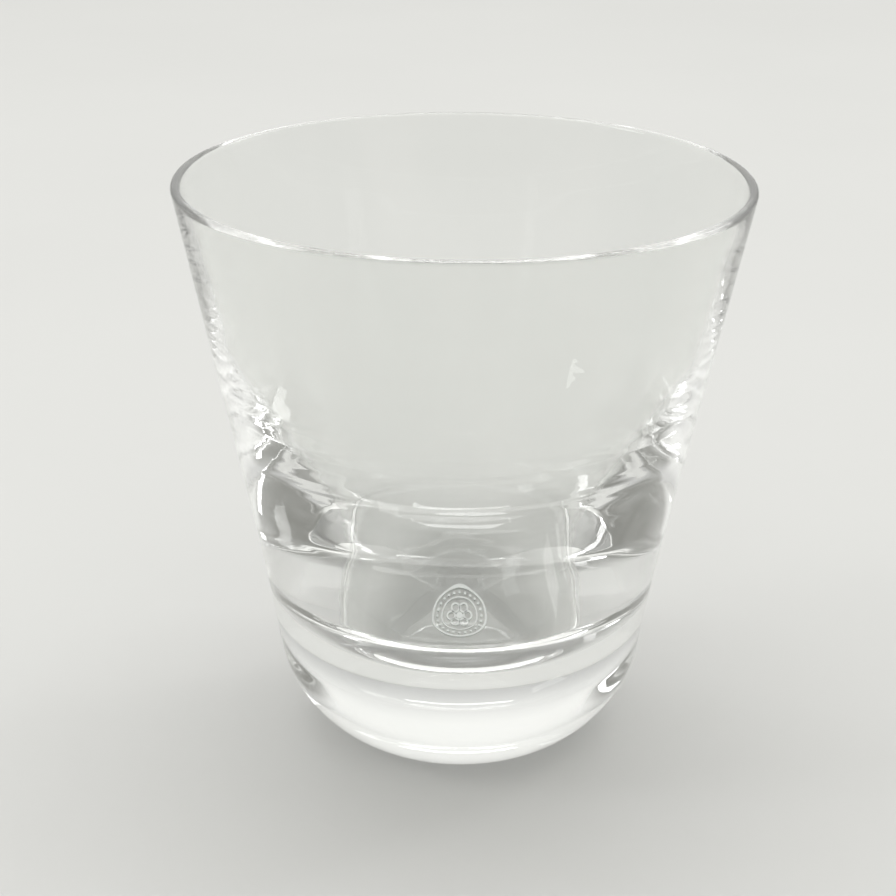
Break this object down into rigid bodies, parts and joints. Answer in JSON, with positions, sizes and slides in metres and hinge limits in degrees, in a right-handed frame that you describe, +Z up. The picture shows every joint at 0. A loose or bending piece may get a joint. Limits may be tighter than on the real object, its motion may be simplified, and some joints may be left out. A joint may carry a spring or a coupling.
{
  "type": "whiskey tumbler",
  "caption": "Flared clear glass whiskey tumbler with a thin upper wall, a very thick rounded base and a small frosted mark on the floor of its cavity.",
  "frame": {"origin": "centre of the foot ring, on the surface that the tumbler stands on", "axes": "+Z up along the tumbler's axis of revolution; the tumbler is the same all round, so +X and +Y have no front"},
  "size_m": [0.09, 0.09, 0.0929],
  "materials": {
    "clear_glass": "clear soda-lime glass, fire-polished and smooth, with a faint grey-green tint in its thick parts",
    "fired_frit": "thin fired-on frit, pale and frosted, matt to the touch"
  },
  "bodies": {
    "root": {"glass_body": "clear_glass", "base_mark": "fired_frit"}
  },
  "joints": []
}
